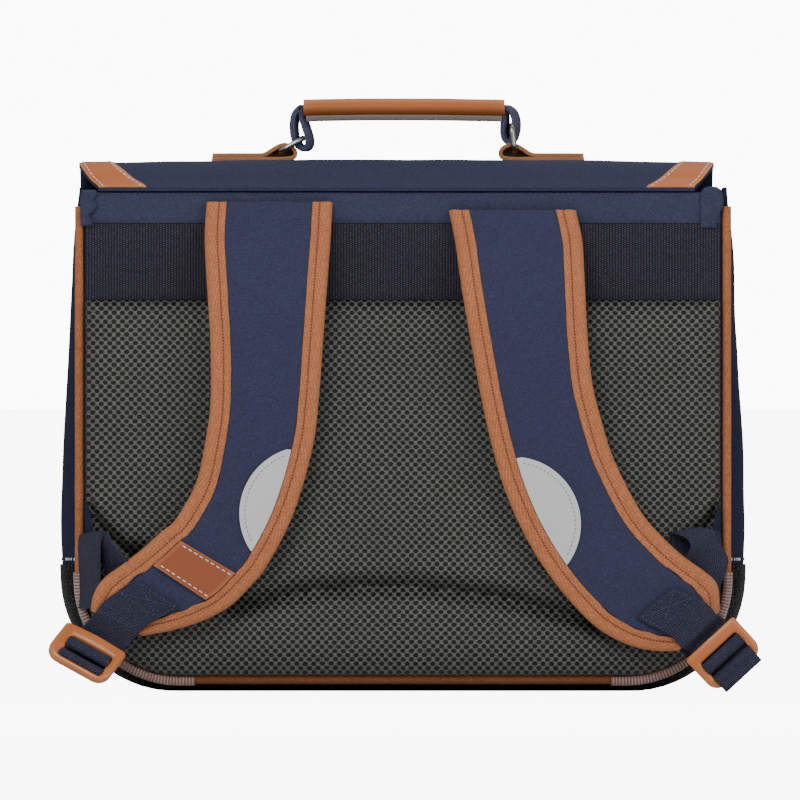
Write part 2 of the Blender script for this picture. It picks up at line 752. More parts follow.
ear_outlines = {
    "left": [(279.6, -193.4, -185.0), (283, -193.6, -186.6), (286.4, -193.8, -187.4), (289, -193.6, -184.4),
             (292, -193.8, -182.6), (295.4, -193.8, -184.6), (298.4, -193.6, -183.0),
             (301.4, -192.6, -184.4)],
    "right": [(278.4, 178.2, 188.6), (282, 178.4, 188.8), (286, 178.0, 189.4), (290, 178.6, 191.6),
              (294, 178.3, 192.4), (298, 178.8, 192.2), (301.4, 179.6, 191.0), (303.4, 182.6, 188.4)],
}
for side_name, rows in ear_outlines.items():
    front, back = [], []
    for i in range(22):
        share = i / 21
        front_column, back_column = [], []
        for j in range(40):
            z = lerp(rows[0][0], rows[-1][0], j / 39)
            left_x, right_x = curve_through(rows, z)
            x = lerp(left_x, right_x, share)
            near = min(x - left_x, right_x - x, z - rows[0][0], rows[-1][0] - z)
            round_edge = 1 - (1 - clamp(near / 1.6, 0, 1)) ** 2
            folded = 1.3 * math.exp(-((share - 0.78 - ripple((0, 0, z), 9, 0.3, seed=3)) / 0.13) ** 2)
            stand = 0.7 + (1.7 + folded + ripple((x, 0, z), 6.5, 2.0, seed=23 + len(side_name))) * round_edge
            front_column.append((x, back_plane - ear_lift - stand, z))
            back_column.append((x, back_plane - ear_lift, z))
        front.append(front_column)
        back.append(back_column)
    ear = slab("ear_" + side_name, 22, front, back, 60)
    finish_piece(ear, yoke_twill, "twill", "gusset_ear_" + side_name)
sew("yoke_stitches",
    [(x, back_plane - panel_face - yoke_wall - 0.1, flap_seam_height - 1.0) for x in range(-176, 172, 8)],
    Vector((0, -1, 0)), blue_thread, "twill", length=2.4, space=0.9, radius=0.3)


# Back pad: air mesh over foam, with a rounded border and one sewn channel under the straps that sets off the
# lumbar part.
pad_half_width = 190.5
pad_bottom = 9.8
pad_corner = 55.0
pad_thickness = 14.0
pad_edge = 1.5
pad_taper = 22.0
channel_depth = 10.5
channel_spread = 6.5
pad_top = band_bottom - gap
channel_rows = [(-1.0, 0.49), (-0.95, 0.42), (-0.88, 0.36), (-0.8, 0.34), (-0.68, 0.285), (-0.54, 0.23),
                (-0.26, 0.26), (0.0, 0.268), (0.26, 0.247), (0.39, 0.225), (0.55, 0.191), (0.66, 0.181),
                (0.76, 0.23), (0.88, 0.36), (0.95, 0.42), (1.0, 0.49)]


def pad_stand(x, z, low):
    """How far the pad stands off the panel at a place."""
    to_edge = min(pad_half_width - abs(x), pad_top - z, z - low)
    inward = clamp(to_edge / pad_taper, 0, 1)
    full = lerp(pad_edge, pad_thickness, math.sqrt(max(0.0, 1 - (1 - inward) ** 2)))
    channel = pad_top * curve_through(channel_rows, x / pad_half_width)[0]
    away = (z - channel) / channel_spread
    crease = math.exp(-away * away) * 0.62 + 0.38 * math.exp(-abs(away) * 2.6)
    return max(full - channel_depth * crease + ripple((x, 0, z), 30, 0.7, seed=31), pad_edge)


def pad_low(x):
    beyond = clamp(abs(x) - (pad_half_width - pad_corner), 0, pad_corner)
    return pad_bottom + pad_corner - math.sqrt(pad_corner ** 2 - beyond ** 2)


pad_columns, pad_rows = 190, 120
pad_front, pad_back = [], []
for i in range(pad_columns):
    share = -1 + 2 * i / (pad_columns - 1)
    x = pad_half_width * share * (1.06 - 0.06 * share * share)
    low = pad_low(x)
    front_column, back_column = [], []
    for j in range(pad_rows):
        rise = j / (pad_rows - 1)
        z = lerp(low, pad_top, rise - 0.03 * math.sin(2 * math.pi * rise))
        front_column.append((x, back_plane - panel_face - pad_stand(x, z, low), z))
        back_column.append((x, back_plane - panel_face, z))
    pad_front.append(front_column)
    pad_back.append(back_column)
pad = slab("back_pad_mesh", pad_columns, pad_front, pad_back, 60)


def air_mesh_material():
    """Spacer mesh: a grey-green knitted lattice with staggered round holes down to a dark ground."""
    graph, given, result = start_group("knit_lattice", [
        ("Cloth", VECTOR, None), ("Across", FLOAT, 5.1), ("Rows", FLOAT, 2.6), ("Hole", FLOAT, 1.42),
    ], [("Open", FLOAT), ("Height", FLOAT), ("Strand", FLOAT)])
    drift = (graph.node("TexNoise", "Fac", Vector=given["Cloth"], Scale=60) - 0.5) * 1.6
    u_mm, v_mm = [part * 1000.0 + drift for part in graph.split(given["Cloth"])[:2]]
    v = v_mm / given["Rows"]
    row = v.step("FLOOR")
    u = u_mm / given["Across"] + row.step("MODULO", 2.0) * 0.5
    off_u = (u - u.step("FLOOR") - 0.5) * given["Across"]
    off_v = (v - row - 0.5) * given["Rows"]
    far = (off_u * off_u + off_v * off_v).step("SQRT")
    rim = ((far - (given["Hole"] - 0.2)) / 0.4).within(0.0, 1.0)
    strands = graph.node("TexNoise", "Fac", Vector=given["Cloth"], Scale=950, Detail=2)
    wire(graph.tree, 1.0 - rim, result["Open"])
    wire(graph.tree, rim + strands * 0.5, result["Height"])
    wire(graph.tree, strands, result["Strand"])
    look = Look("air_mesh", Roughness=0.5, Sheen_Weight=0.03, Specular_IOR_Level=0.35)
    knit = look.group(graph.tree, Cloth=look.cloth())
    marks = look.marks(srgb(89, 90, 83), srgb(122, 122, 114), 40.0, 0.5)
    shaded = ((0.58 - knit["Strand"]) * 2.7).within(0.0, 1.0)
    lit = look.mix(shaded, marks["Colour"], srgb(36, 36, 32))
    return look.finished(look.mix(knit["Open"], lit, srgb(0, 0, 0)), knit["Height"], 1.9)


air_mesh = air_mesh_material()
finish_piece(pad, air_mesh, "air_mesh", "back_pad")


# The flap: one stiffened sheet of navy twill from the back seam over the top and down the front, with tan
# leather trims sewn along both edges and two plain clasps on its hem.
flap_wall = 2.6
flap_crest = 320.0
flap_half_width = 191.1
flap_seam_half_width = 179.1
flap_shift = -3.9
flap_droop = 2.4
flap_hem = 78.0
flap_corner = 42.0
flap_stand_off = 4.6
flap_rise = flap_crest - flap_wall / 2 - flap_seam_height
flap_top_rows = [(-0.02, 0.09, 0.0), (0.025, 0.38, 0.34), (0.085, 0.72, 0.7), (0.17, 0.93, 0.93),
                 (0.34, 1.0, 1.0), (0.58, 1.0, 1.0), (0.74, 0.94, 1.0), (0.9, 0.76, 1.0), (1.01, 0.42, 1.0)]
hem_turn = [(-4.6, 1.7), (-4.9, 2.6)]
flap_path = [(back_plane + y, flap_seam_height + z, flap_seam_half_width, 0.0, 0.0) for y, z in hem_turn]
for across, height, width in flap_top_rows[1:]:
    flap_path.append((back_plane + across * depth_top, flap_seam_height + height * flap_rise,
                      lerp(flap_seam_half_width, flap_half_width, width), flap_droop * width, 0.0))
flap_front = [(share * seam_top, flap_half_width) for share in (0.955, 0.86, 0.73, 0.6, 0.48)]
for i in range(13):
    angle = i / 12 * math.pi / 2
    flap_front.append((flap_hem + flap_corner * (1 - math.sin(angle)),
                       flap_half_width - flap_corner * (1 - math.cos(angle))))
for z, half in flap_front:
    flap_path.append((back_plane + depth_at(z) + flap_stand_off, z, half, 0.0, 1.0))
fine_path = []
numbered = [(float(i),) + row for i, row in enumerate(flap_path)]
straight_from = 14
for i in range(straight_from * 4 + 1):
    fine_path.append(tuple(curve_through(numbered[:straight_from + 2], i / 4)))
fine_path += flap_path[straight_from + 1:]


def flap_up(i):
    """The way out of the flap's outer face at a station of its path."""
    before, after = fine_path[max(i - 1, 0)], fine_path[min(i + 1, len(fine_path) - 1)]
    return Vector((0, before[1] - after[1], after[0] - before[0])).normalized()


def flap_spot(i, x, offset):
    y, z, half, droop, follow = fine_path[i]
    share = x / flap_half_width
    spot = Vector((x + flap_shift, y + clamp(follow, 0, 1) * crown_at(x, z), z - droop * share * share))
    loose = clamp(i / 10, 0, 1)
    return spot + flap_up(i) * (offset + ripple((x, y * 1.2, z), 40, 1.0, seed=41) * loose)


def flap_ring(i, from_x, to_x, inner, outer, columns):
    xs = [lerp(from_x, to_x, j / columns) for j in range(columns + 1)]
    return [flap_spot(i, x, outer) for x in xs] + [flap_spot(i, x, inner) for x in reversed(xs)]


flap_twill = cloth_material("flap_twill", srgb(52, 56, 80), srgb(32, 35, 54), (0.85, 0.85), 0.2, faded=0.6)
flap = loft("flap_cloth", [flap_ring(i, -row[2], row[2], -flap_wall / 2, flap_wall / 2, 64)
                           for i, row in enumerate(fine_path)])
finish_piece(flap, flap_twill, "twill", "flap")
flap_steps = [(math.hypot(b[0] - a[0], b[1] - a[1]), a[2] + b[2]) for a, b in zip(fine_path, fine_path[1:])]
flap_length = sum(step for step, width in flap_steps)
flap_area = sum(step * width for step, width in flap_steps)
flap_length * MM
flap_area * MM * MM


def leather_material(name, base, faded, edge, roughness, grain=0.12, coat=0.04, shade=None):
    """Smooth finished leather: even colour with soft shade changes, fine grain, and paler rubbed edges."""
    look = Look(name, Roughness=roughness, Specular_IOR_Level=0.18, Coat_Weight=coat, Coat_Roughness=0.35)
    place = look.place()
    pores = look.node("TexVoronoi", "Distance", Vector=place, Scale=1100)
    marks = look.marks(base, faded, 24.0, 0.7)
    bent = look.node("NewGeometry", "Pointiness") - 0.52
    colour = look.mix((bent.step("MAXIMUM", 0.0) * 9.0).step("MINIMUM", 0.6), marks["Colour"], edge)
    if shade:
        top, foot = shade
        below = top * MM - look.split(place)[2]
        colour = look.mix((below / ((top - foot) * MM)).within(0.0, 0.75), colour, times(base, 0.16))
    return look.finished(colour, pores + marks["Fine"], grain, 0.5)


tan_leather = leather_material("tan_leather", srgb(172, 92, 42), srgb(186, 104, 52), srgb(208, 132, 80),
                               roughness=0.4)
trim_wall = 1.1
trim_edge = 0.75
trim_lift = flap_wall / 2 - 0.2
trim_width = 21.5
trim_seam_width = 28.5
trim_end = straight_from * 4 + 4
for side_name, side in (("left", -1), ("right", 1)):
    rings, lines = [], {0: [], 1: []}
    for i in range(3, trim_end):
        y, z, half, droop, follow = fine_path[i]
        narrow = clamp(droop / flap_droop, 0, 1) if i < 36 else 1
        width = lerp(trim_seam_width, trim_width, narrow)
        edges = sorted((side * half, side * (half - width)))
        xs = [lerp(edges[0], edges[1], j / 8) for j in range(9)]
        walls = [trim_wall - trim_edge] + [trim_wall] * 7 + [trim_wall - trim_edge]
        top = [flap_spot(i, x, trim_lift + wall) for x, wall in zip(xs, walls)]
        rings.append(top + [flap_spot(i, x, trim_lift) for x in reversed(xs)])
        for k in (0, 1):
            inset = 2.6 if k == 0 else width - 3.2
            lines[k].append(flap_spot(i, side * (half - inset), trim_lift + trim_wall))
    trim = loft("flap_trim_leather_" + side_name, rings, sharp=50)
    finish_piece(trim, tan_leather, "leather", "flap_trim_" + side_name)
    for k, line in lines.items():
        ups = [flap_up(i) for i in range(len(line))]
        sew("flap_trim_stitches_" + side_name + str(k), line, ups, white_thread, "leather", length=2.6,
            space=1.4, radius=0.33)


def softened(node_name, new_name, width, segments=3):
    """A piece with a frame node's own shape and softly rounded edges."""
    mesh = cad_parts[node_name].data.copy()
    fresh = bmesh.new()
    fresh.from_mesh(mesh)
    bmesh.ops.remove_doubles(fresh, verts=fresh.verts, dist=0.01 * MM)
    bmesh.ops.dissolve_limit(fresh, angle_limit=math.radians(2), verts=fresh.verts, edges=fresh.edges)
    crease = [e for e in fresh.edges if e.is_manifold and e.calc_face_angle() > math.radians(30)]
    bmesh.ops.bevel(fresh, geom=crease, offset=width * MM, segments=segments, profile=0.6, affect="EDGES",
                    clamp_overlap=True)
    fresh.to_mesh(mesh)
    fresh.free()
    for layer in list(mesh.uv_layers):
        mesh.uv_layers.remove(layer)
    flat_cloth(mesh)
    mesh.polygons.foreach_set("use_smooth", [True] * len(mesh.polygons))
    mesh.set_sharp_from_angle(angle=math.radians(50))
    piece = bpy.data.objects.new(new_name, mesh)
    bpy.context.scene.collection.objects.link(piece)
    return piece


for side_name in ("left", "right"):
    clasp = softened("flap_clasp_" + side_name, "clasp_" + side_name, width=1.0)
    finish_piece(clasp, tan_leather, "leather", "flap_clasp_" + side_name)


# Carrying handle: a tan leather roll over a rough suede underside, hung from two webbing loops, two bright
# wire rings and two folded leather anchors riveted through the flap.
grip_length = 121.2
grip_centre = 0.6
grip_depth = 26.0
grip_top = 357.0
grip_height = 10.2
underside_height = 3.4
underside_inset = 1.6
handle_place = -18.0
grip_bottom = grip_top - grip_height
grip_rows = [(-0.8, 0.0), (-0.93, 0.14), (-1.0, 0.36), (-0.985, 0.56), (-0.9, 0.75), (-0.72, 0.89),
             (-0.4, 0.975), (0.0, 1.0), (0.4, 0.975), (0.72, 0.89), (0.9, 0.75), (0.985, 0.56), (1.0, 0.36),
             (0.93, 0.14), (0.8, 0.0)]


def grip_loft(name, section, length, steps=40, round_end=0.8):
    rings = []
    for i in range(steps + 1):
        share = -1 + 2 * i / steps
        x = grip_centre + share * length / 2
        fall = 0.8 * share * share + ripple((x, 0, 0), 22, 0.3, seed=51)
        near = clamp((1 - abs(share)) * grip_length / 2 / round_end, 0, 1)
        pull = 1 - 0.03 * (1 - near)
        rings.append([(x, handle_place + y * pull, z - fall) for y, z in section])
    return loft(name, rings, sharp=50)


grip = grip_loft("handle_roll", [(a * grip_depth / 2, grip_bottom + h * grip_height) for a, h in grip_rows],
                 grip_length)
grip_leather = leather_material("grip_leather", srgb(186, 102, 50), srgb(196, 114, 60), srgb(210, 134, 82),
                                roughness=0.4, shade=(356.0, 346.0))
finish_piece(grip, grip_leather, "leather", "handle_grip")
suede = leather_material("rough_suede", srgb(74, 60, 54), srgb(116, 102, 94), srgb(140, 126, 118),
                         roughness=0.9, grain=0.9, coat=0.0)
under_top = grip_bottom + 0.2
under_half = grip_depth / 2 - underside_inset
underside = grip_loft("handle_suede", [
    (-under_half, under_top), (under_half, under_top), (under_half + 0.3, under_top - underside_height * 0.5),
    (under_half - 0.8, under_top - underside_height), (-under_half + 0.8, under_top - underside_height),
    (-under_half - 0.3, under_top - underside_height * 0.5)], grip_length - 2 * underside_inset)
finish_piece(underside, suede, "suede", "handle_underside")

navy_webbing = cloth_material("navy_webbing", srgb(70, 72, 94), srgb(10, 11, 18), (1.4, 1.2), 0.5,
                              slant=0.0, roundness=0.8, gap_share=0.95)
loop_webbing = cloth_material("loop_webbing", srgb(98, 102, 130), srgb(22, 24, 38), (1.4, 1.2), 0.5,
                              slant=0.0, roundness=0.8, gap_share=0.8)
loop_width = 16.0
loop_wall = 3.2
loop_skew = 0.17
loop_lines = {
    "left": [(-60.6, 351.5), (-64.2, 347.5), (-65.5, 341), (-64.8, 333.5), (-62.0, 328), (-58.6, 326.4),
             (-56.2, 329), (-56.4, 333.6), (-58, 339), (-59.6, 344), (-60, 348.5)],
    "right": [(62.0, 351.5), (66.2, 349), (68.2, 343.4), (68.1, 337.5), (66.6, 332.6), (64.2, 330.8),
              (62.0, 332.8), (61.2, 337.6), (61.6, 343), (61.4, 348)],
}


def strip_section(corner, edge, face):
    """Round a strip's section: the place across it, from -1 to 1, and the share of its thickness."""
    low = [(-1, -edge), (-corner, -face), (corner, -face), (1, -edge)]
    return low + [(place, -share) for place, share in reversed(low)]


def strip_ring(x, z, lift, wall, width, section, skew=0.0):
    """One section of a strip that runs round in the handle's own plane."""
    return [(x + lift.x * share * wall + across * width / 2 * skew, handle_place + across * width / 2,
             z + lift.y * share * wall) for across, share in section]


loop_section = strip_section(0.95, 0.38, 0.5)
for side_name, line in loop_lines.items():
    count = len(line)
    rows = [(float(i), *line[i % count]) for i in range(-2, count + 3)]
    path = [Vector(curve_through(rows, count * i / 48)) for i in range(48)]
    rings = []
    for i, spot in enumerate(path):
        ahead = path[(i + 1) % 48] - path[i - 1]
        lift = Vector((-ahead.y, ahead.x)).normalized()
        rings.append(strip_ring(spot.x, spot.y, lift, loop_wall, loop_width, loop_section, loop_skew))
    webbing_loop = loft("handle_webbing_" + side_name, rings, closed=True, sharp=50)
    finish_piece(webbing_loop, loop_webbing, "webbing", "handle_loop_" + side_name)


def metal_material():
    """Plated wire: bright, slightly brushed, darker where fingers and dust dull it."""
    look = Look("bright_wire", Metallic=1.0)
    marks = look.marks(srgb(176, 176, 174), srgb(120, 118, 114), 7.0, 0.8)
    wire(look.tree, marks["Blotch"] * 0.25 + 0.14, look.shader.inputs["Roughness"])
    return look.finished(marks["Colour"], marks["Fine"], 0.03)


bright_wire = metal_material()
wire_radius = 1.7
ring_height = 15.6
ring_inside = 19.0
ring_corner = 4.5
for side_name, side, top_x, lean in (("left", -1, -60.4, 30), ("right", 1, 65.3, 83)):
    angle = math.radians(lean)
    down = Vector((side * math.cos(angle), 0, -math.sin(angle)))
    across = Vector((0, 1, 0))
    top_z = flap_crest + gap + 2.4 + wire_radius + 2 * gap + ring_height * math.sin(angle)
    middle = Vector((top_x, handle_place, top_z)) + down * ring_height / 2
    inset = (ring_inside / 2 + wire_radius - ring_corner, ring_height / 2 - ring_corner)
    aside = across.cross(down)
    rings = []
    for quarter, signs in enumerate(((1, 1), (-1, 1), (-1, -1), (1, -1))):
        for i in range(9):
            turn = (quarter + i / 8) * math.pi / 2
            out = across * math.cos(turn) + down * math.sin(turn)
            at = middle + across * (signs[0] * inset[0] + math.cos(turn) * ring_corner)
            at += down * (signs[1] * inset[1] + math.sin(turn) * ring_corner)
            rings.append([at + (out * math.cos(k / 14 * 2 * math.pi) + aside * math.sin(k / 14 * 2 * math.pi))
                          * wire_radius for k in range(14)])
    ring = loft("handle_wire_" + side_name, rings, closed=True, sharp=80)
    finish_piece(ring, bright_wire, "metal", "handle_ring_" + side_name)

anchor_width = 17.0
anchor_length = 51.6
anchor_wall = 2.4
anchor_low = flap_crest - 0.9
fold_rows = [(1.0, 0.5), (0.7, 0.5), (0.36, 0.5), (0.16, 0.52), (0.05, 0.85), (0.022, 1.7), (0.03, 2.7),
             (0.075, 3.6), (0.15, 4.1), (0.22, 3.7), (0.3, 2.7), (0.37, 1.75), (0.43, 1.5), (0.6, 1.48),
             (0.8, 1.48), (0.992, 1.44)]
raw_leather = leather_material("raw_leather", srgb(132, 80, 50), srgb(180, 124, 86), srgb(196, 140, 100),
                               roughness=0.9, grain=1.2, coat=0.0)
anchor_section = strip_section(0.97, 0.36, 0.52)
for side_name, side, tip in (("left", -1, -63.6), ("right", 1, 57.6)):
    spots = [(float(i), tip + side * along * anchor_length, anchor_low + up * anchor_wall)
             for i, (along, up) in enumerate(fold_rows)]
    path = [curve_through(spots, i / 5) for i in range((len(spots) - 1) * 5 + 1)]
    rings = []
    for i, (x, z) in enumerate(path):
        ahead = Vector(path[min(i + 1, len(path) - 1)]) - Vector(path[max(i - 1, 0)])
        lift = Vector((-ahead.y, ahead.x)).normalized()
        rings.append(strip_ring(x, z, lift, anchor_wall, anchor_width, anchor_section))
    anchor = loft("handle_leather_" + side_name, rings, sharp=50)
    finish_piece(anchor, tan_leather, "leather", "handle_anchor_" + side_name)
    anchor.data.materials.append(raw_leather)
    for face in anchor.data.polygons:
        if abs(face.normal.y) > 0.7:
            face.material_index = 1
    web = [(tip + side * along * anchor_length, anchor_low + up * anchor_wall)
           for along, up in ((0.05, 0.9), (0.42, 0.9), (0.36, 1.9), (0.28, 2.9), (0.2, 3.8), (0.12, 3.9),
                            (0.04, 3.0), (0.022, 2.3), (0.022, 1.5))]
    sections = [[(x, handle_place + y, z) for x, z in web] for y in (3.0, 4.0)]
    lining = loft("handle_lining_" + side_name, sections)
    finish_piece(lining, suede, "suede")


# Shoulder straps: foam covered in navy cloth, with a tan binding folded over each long edge and sewn through.
strap_width = 75.6
strap_fall = 252.0
strap_thickness = 10.0
strap_bow = 27.0
binding_width = 12.0
binding_wall = 1.2
strap_crown = 0.8
to_viewer = Vector((0, -1, 0))
strap_tables = {
    "left": (-1, -80.1, 293.4, 91.5, [
        (0, 0, 1, 0, 0.6, 0.165), (0.088, 0.013, 1, 0, 0.8, 0.37), (0.218, 0.016, 0.944, 0, 1, 0.85),
        (0.335, 0.018, 0.893, 0, 1, 1), (0.477, 0.033, 0.856, 4, 1, 1), (0.569, 0.066, 0.848, 8, 1, 0.96),
        (0.702, 0.161, 0.81, 20, 1, 0.9), (0.8055, 0.311, 0.815, 26, 1, 0.87),
        (0.845, 0.41, 0.828, 31, 1, 0.86), (0.891, 0.544, 0.832, 33, 0.95, 0.85),
        (0.9265, 0.695, 0.788, 34, 0.88, 0.85), (0.955, 0.852, 0.7, 35, 0.8, 0.85),
        (0.979, 0.951, 0.58, 32, 0.7, 0.85), (1, 1, 0.46, 26, 0.62, 0.85)]),
    "right": (1, 65.7, 288.6, 111.9, [
        (0, 0, 1.008, 0, 0.6, 0.165), (0.0745, 0.034, 1.01, 0, 0.8, 0.33), (0.1875, 0.059, 0.976, 1, 1, 0.8),
        (0.305, 0.09, 0.925, 5, 1, 1), (0.4255, 0.129, 0.889, 8, 1, 1), (0.519, 0.177, 0.893, 11, 1, 0.97),
        (0.62, 0.244, 0.897, 17, 1, 0.93), (0.713, 0.338, 0.905, 20, 1, 0.89),
        (0.791, 0.442, 0.894, 27, 1, 0.87), (0.8606, 0.574, 0.9, 33, 0.95, 0.86),
        (0.9123, 0.7, 0.9, 37.5, 0.88, 0.85), (0.946, 0.826, 0.841, 43.5, 0.8, 0.85),
        (0.9688, 0.933, 0.714, 47, 0.7, 0.85), (1, 1, 0.46, 44, 0.62, 0.85)]),
}


class Station:
    """A place along a strap: its middle, the way to its outer edge and to the wearer, and its sizes."""

    def __init__(self, at, out, face, fall, half, tall):
        self.at, self.out, self.face, self.fall, self.half, self.tall = at, out, face, fall, half, tall

    def point(self, out, up):
        return self.at + self.out * out + self.face * up

    def toward(self, other, share):
        return Station(self.at.lerp(other.at, share), self.out.lerp(other.out, share),
                       self.face.lerp(other.face, share), lerp(self.fall, other.fall, share),
                       lerp(self.half, other.half, share), lerp(self.tall, other.tall, share))


def strap_line(side, top_x, top_z, spread, rows, steps=84):
    numbered = []
    for i, (fall, out, width, turn, thick, lift) in enumerate(rows):
        numbered.append((float(i), top_x + side * out * spread,
                         back_plane - lift * strap_bow - thick * strap_thickness / 2,
                         top_z - fall * strap_fall, fall, width, float(turn), thick))
    last = len(rows) - 1
    stations = []
    for i in range(steps):
        place = last * i / (steps - 1)
        x, y, z, fall, width, turn, thick = curve_through(numbered, place)
        before = curve_through(numbered, max(place - 0.15, 0))
        after = curve_through(numbered, min(place + 0.15, last))
        ahead = Vector(after[:3]) - Vector(before[:3])
        turn = math.radians(turn)
        out = Vector((side * math.cos(turn), 0, math.sin(turn)))
        face = out.cross(ahead).normalized()
        if face.dot(to_viewer) < 0:
            face.negate()
        stations.append(Station(Vector((x, y, z)), out, face, fall, width * strap_width / 2,
                                thick * strap_thickness / 2))
    return stations


def station_at(stations, fall):
    i = 1
    while i < len(stations) - 1 and stations[i].fall < fall:
        i += 1
    a, b = stations[i - 1], stations[i]
    return a.toward(b, (fall - a.fall) / (b.fall - a.fall))


core_edge = binding_wall + gap


def core_top(station, out):
    inner = station.half - binding_width - gap
    share = clamp(abs(out) / max(inner, 0.1), 0, 1)
    rise = station.tall - core_edge + 0.9
    return rise + strap_crown * (1 - share ** 2.2)


def strap_core(station, seed):
    low = station.tall - core_edge
    inner = station.half - binding_width - gap
    edge = station.half - core_edge
    front = [(-edge, low * 0.4), (-(edge - 1.2), low), (-(inner + 0.1), low)]
    count = 14
    for j in range(count + 1):
        out = -inner + 2 * inner * j / count
        wave = ripple(station.point(out, 0), 24, 1.0, seed=seed) * (1 - (out / max(inner, 0.1)) ** 4)
        front.append((out, core_top(station, out) + wave))
    front += [(inner + 0.1, low), (edge - 1.2, low), (edge, low * 0.4)]
    back = [(edge, -low * 0.4), (edge - 1.2, -low), (-(edge - 1.2), -low), (-edge, -low * 0.4)]
    return [station.point(out, up) for out, up in front + back]


def binding_ring(station, sign, pucker):
    half, tall = station.half, station.tall
    width = binding_width + pucker
    outer = [(half - width, tall - 0.3), (half - width + 0.5, tall + 0.1), (half - width * 0.82, tall + 0.2),
             (half - width * 0.68, tall - 0.55), (half - width * 0.6, tall - 0.6),
             (half - width * 0.45, tall + 0.35), (half - width * 0.25, tall + 0.45),
             (half - binding_wall * 1.1, tall * 0.92), (half, tall * 0.5), (half, -tall * 0.5),
             (half - binding_wall, -tall * 0.9), (half - binding_wall * 2, -tall), (half - width, -tall)]
    inner = [(half - width, -tall + binding_wall), (half - 2 * binding_wall, -tall + binding_wall),
             (half - binding_wall, -tall * 0.4), (half - binding_wall, tall * 0.4),
             (half - 2 * binding_wall, tall - binding_wall), (half - width, tall - binding_wall)]
    return [station.point(sign * out, up) for out, up in outer + inner]


strap_cloth = cloth_material("strap_cloth", srgb(54, 57, 84), srgb(34, 37, 58), (0.8, 0.8), 0.16,
                             roughness=0.7, roundness=0.5, blotch=34.0, faded=0.35, gap_share=0.6)
straps = {}
for side_name, (side, top_x, top_z, spread, rows) in strap_tables.items():
    line = strap_line(side, top_x, top_z, spread, rows)
    straps[side_name] = line
    seed = 60 + side
    core = loft("strap_" + side_name + "_pad", [strap_core(s, seed) for s in line], sharp=55)
    finish_piece(core, strap_cloth, "twill", "strap_" + side_name)
    for edge_name, sign in (("outer", 1), ("inner", -1)):
        rings, route, ups = [], [], []
        for s in line:
            loose = clamp((s.fall - 0.86) / 0.08, 0, 1)
            pucker = ripple((s.at.x, s.at.z, sign * 9), 9, 0.25 + 1.7 * loose, seed=70) + 0.1
            rings.append(binding_ring(s, sign, pucker))
            route.append(s.point(sign * (s.half - binding_width * 0.64), s.tall - 0.5))
            ups.append(s.face)
        binding = loft("strap_" + side_name + "_tape_" + edge_name, rings, sharp=60)
        finish_piece(binding, tan_binding, "binding", "strap_" + side_name + "_binding_" + edge_name)
        sew("strap_" + side_name + "_stitches_" + edge_name, route, ups, brown_thread, "binding", length=1.25,
            space=0.65, radius=0.42, sink=0.4)


patch_gap = gap * 1.6


def strap_patch(name, stations, span_at, wall, columns=14, sharp=45, edge_drop=0.0):
    """A thin piece laid on a strap's cloth, between two distances from the strap's middle."""
    rings = []
    for station in stations:
        start, end = span_at(station)
        outs = [lerp(start, end, j / columns) for j in range(columns + 1)]
        under = [station.point(out, core_top(station, out) + patch_gap) for out in outs]
        over = [station.point(out, core_top(station, out) + patch_gap + wall
                              - (edge_drop if j in (0, columns) else 0)) for j, out in enumerate(outs)]
        rings.append(under + over[::-1])
    return loft(name, rings, sharp=sharp)


# Reflectors: pale reflective film, each the part of a circle that the inner binding leaves,
# sewn round its arc.
def film_material():
    look = Look("reflective_film", Roughness=0.42, Metallic=0.15)
    marks = look.marks(srgb(204, 205, 205), srgb(182, 184, 186), 26.0, 0.8)
    return look.finished(marks["Colour"], marks["Fine"], 0.08)


film = film_material()
reflector_radius = 40.5
for side_name, centre_x, centre_z in (("left", -0.296, 0.354), ("right", 0.34, 0.333)):
    line = straps[side_name]
    centre = Vector((centre_x * seam_half_width, centre_z * seam_top))

    def circle_reach(station, radius):
        along = Vector((station.out.x, station.out.z))
        to_centre = centre - Vector((station.at.x, station.at.z))
        middle = to_centre.dot(along)
        aside = to_centre.length_squared - middle * middle
        inside = radius ** 2 - aside
        return middle + math.sqrt(inside) if inside > 0 else None

    def start_of(station):
        return -(station.half - binding_width - gap)

    finer = []
    for a, b in zip(line, line[1:]):
        finer += [a.toward(b, k / 4) for k in range(4)]
    inside = [s for s in finer if s.fall > 0.5 and circle_reach(s, reflector_radius) is not None
              and circle_reach(s, reflector_radius) > start_of(s) + 0.5]

    def film_span(station):
        return start_of(station), circle_reach(station, reflector_radius)

    piece = strap_patch("reflector_film_" + side_name, inside, film_span, 0.6)
    finish_piece(piece, film, "reflective", "reflector_" + side_name)
    arc, ups = [], []
    for s in inside:
        reach_in = circle_reach(s, reflector_radius - 3.3)
        if reach_in is not None and reach_in > start_of(s) + 0.8:
            arc.append(s.point(reach_in, core_top(s, reach_in) + patch_gap + 0.6))
            ups.append(s.face)
    sew("reflector_stitches_" + side_name, arc, ups, grey_thread, "reflective", length=1.5, space=1.1,
        radius=0.26, sink=0.5)


# A plain leather patch across the left strap, with one row of white stitches along each long edge.
patch_from, patch_to = 0.842, 0.903
patch_line = [station_at(straps["left"], lerp(patch_from, patch_to, i / 14)) for i in range(15)]


def across_cloth(station):
    inner = station.half - binding_width - gap
    return -inner, inner


